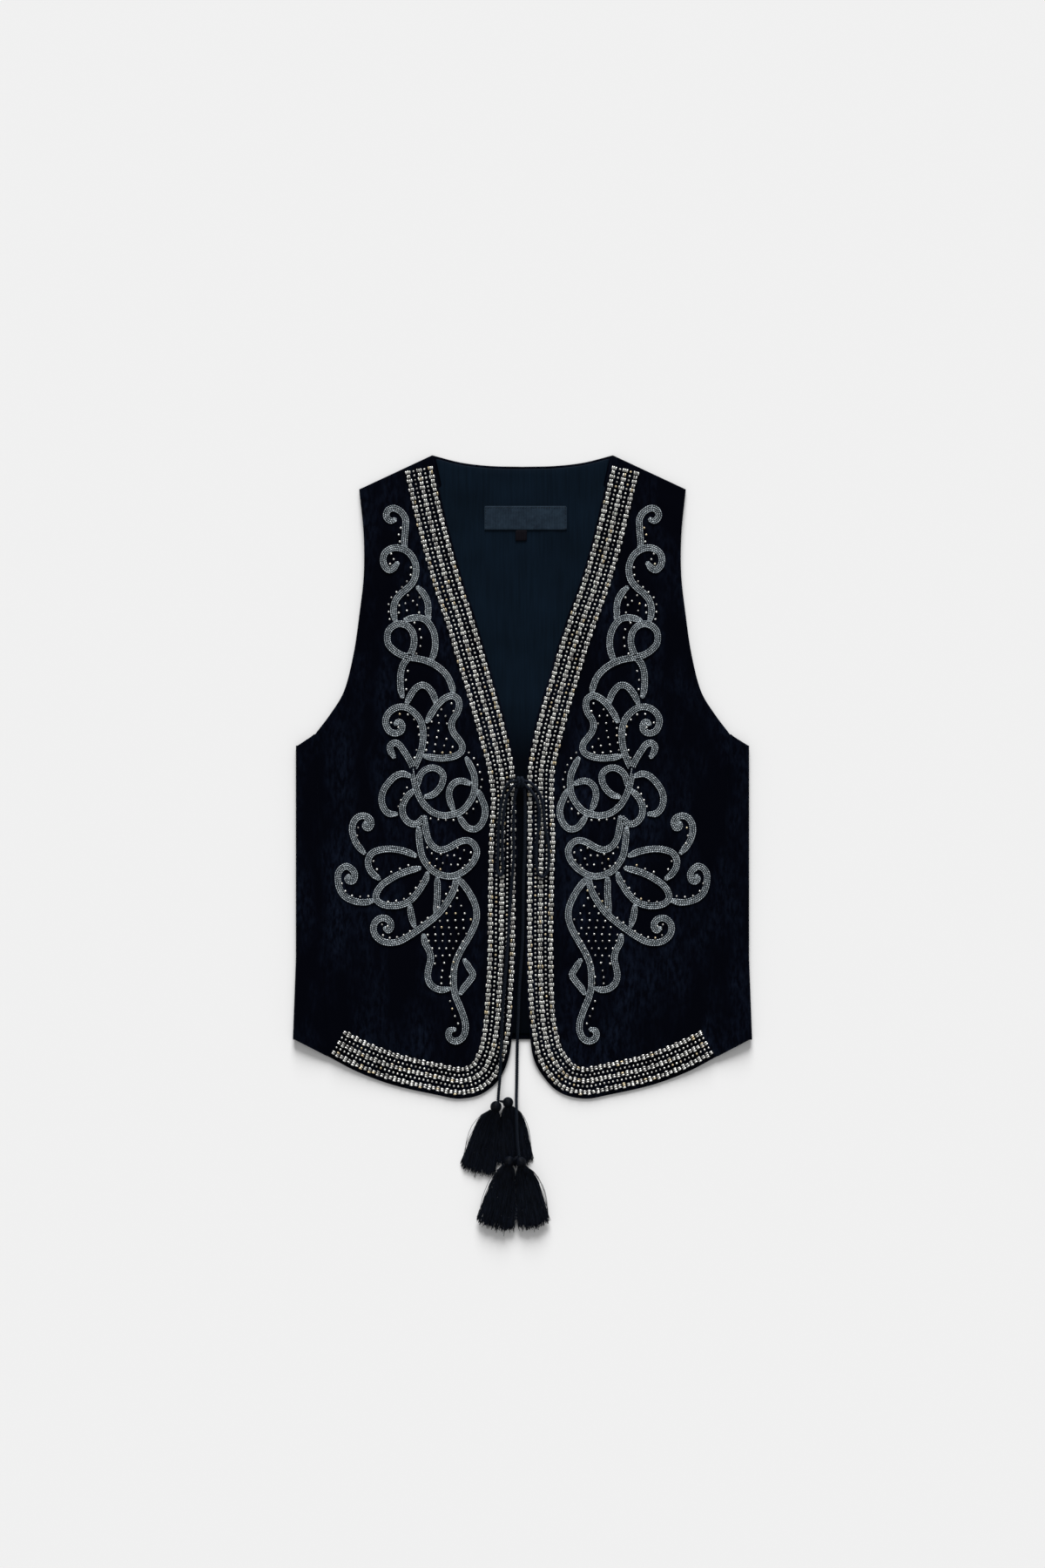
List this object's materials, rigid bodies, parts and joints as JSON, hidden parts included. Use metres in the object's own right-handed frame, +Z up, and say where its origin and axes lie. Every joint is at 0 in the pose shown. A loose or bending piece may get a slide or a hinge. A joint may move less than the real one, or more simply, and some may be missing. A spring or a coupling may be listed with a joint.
{
  "type": "embroidered vest",
  "caption": "Sleeveless velvet folk vest laid flat, with beaded edges, raised silver scroll embroidery, a satin-lined back and a cord tie ending in tassels.",
  "frame": {"origin": "on the table under the middle of the laid vest, without its tie and tassels", "axes": "+X to the right of the laid vest as seen from above, +Y towards the neck, +Z up from the table"},
  "size_m": [0.4532, 0.7645, 0.0156],
  "materials": {
    "velvet": "cotton velvet, near-black navy, soft cut pile",
    "lining": "polyester satin twill, dark petrol blue",
    "beads": "silver-lined glass beads, sewn in rows",
    "silver_cord": "silver-grey viscose embroidery cord, couched in raised lines",
    "navy_cord": "twisted navy rayon cord and tassel thread",
    "tape": "woven satin tape, bare"
  },
  "bodies": {
    "root": {"back_shell": "velvet", "back_lining": "lining", "front_left": "velvet", "front_right": "velvet", "side_panel_left": "velvet", "side_panel_right": "velvet", "bead_row_outer_left": "beads", "bead_row_middle_left": "beads", "bead_row_inner_left": "beads", "bead_row_outer_right": "beads", "bead_row_middle_right": "beads", "bead_row_inner_right": "beads", "scroll_embroidery_left": "silver_cord", "scroll_embroidery_right": "silver_cord", "neck_label": "tape", "size_tab": "tape", "tie_knot": "navy_cord", "tie_loop_left": "navy_cord", "tie_loop_right": "navy_cord", "tie_tail_left": "navy_cord", "tie_tail_right": "navy_cord", "tassel_upper_left": "navy_cord", "tassel_upper_right": "navy_cord", "tassel_lower_left": "navy_cord", "tassel_lower_right": "navy_cord"}
  },
  "joints": []
}
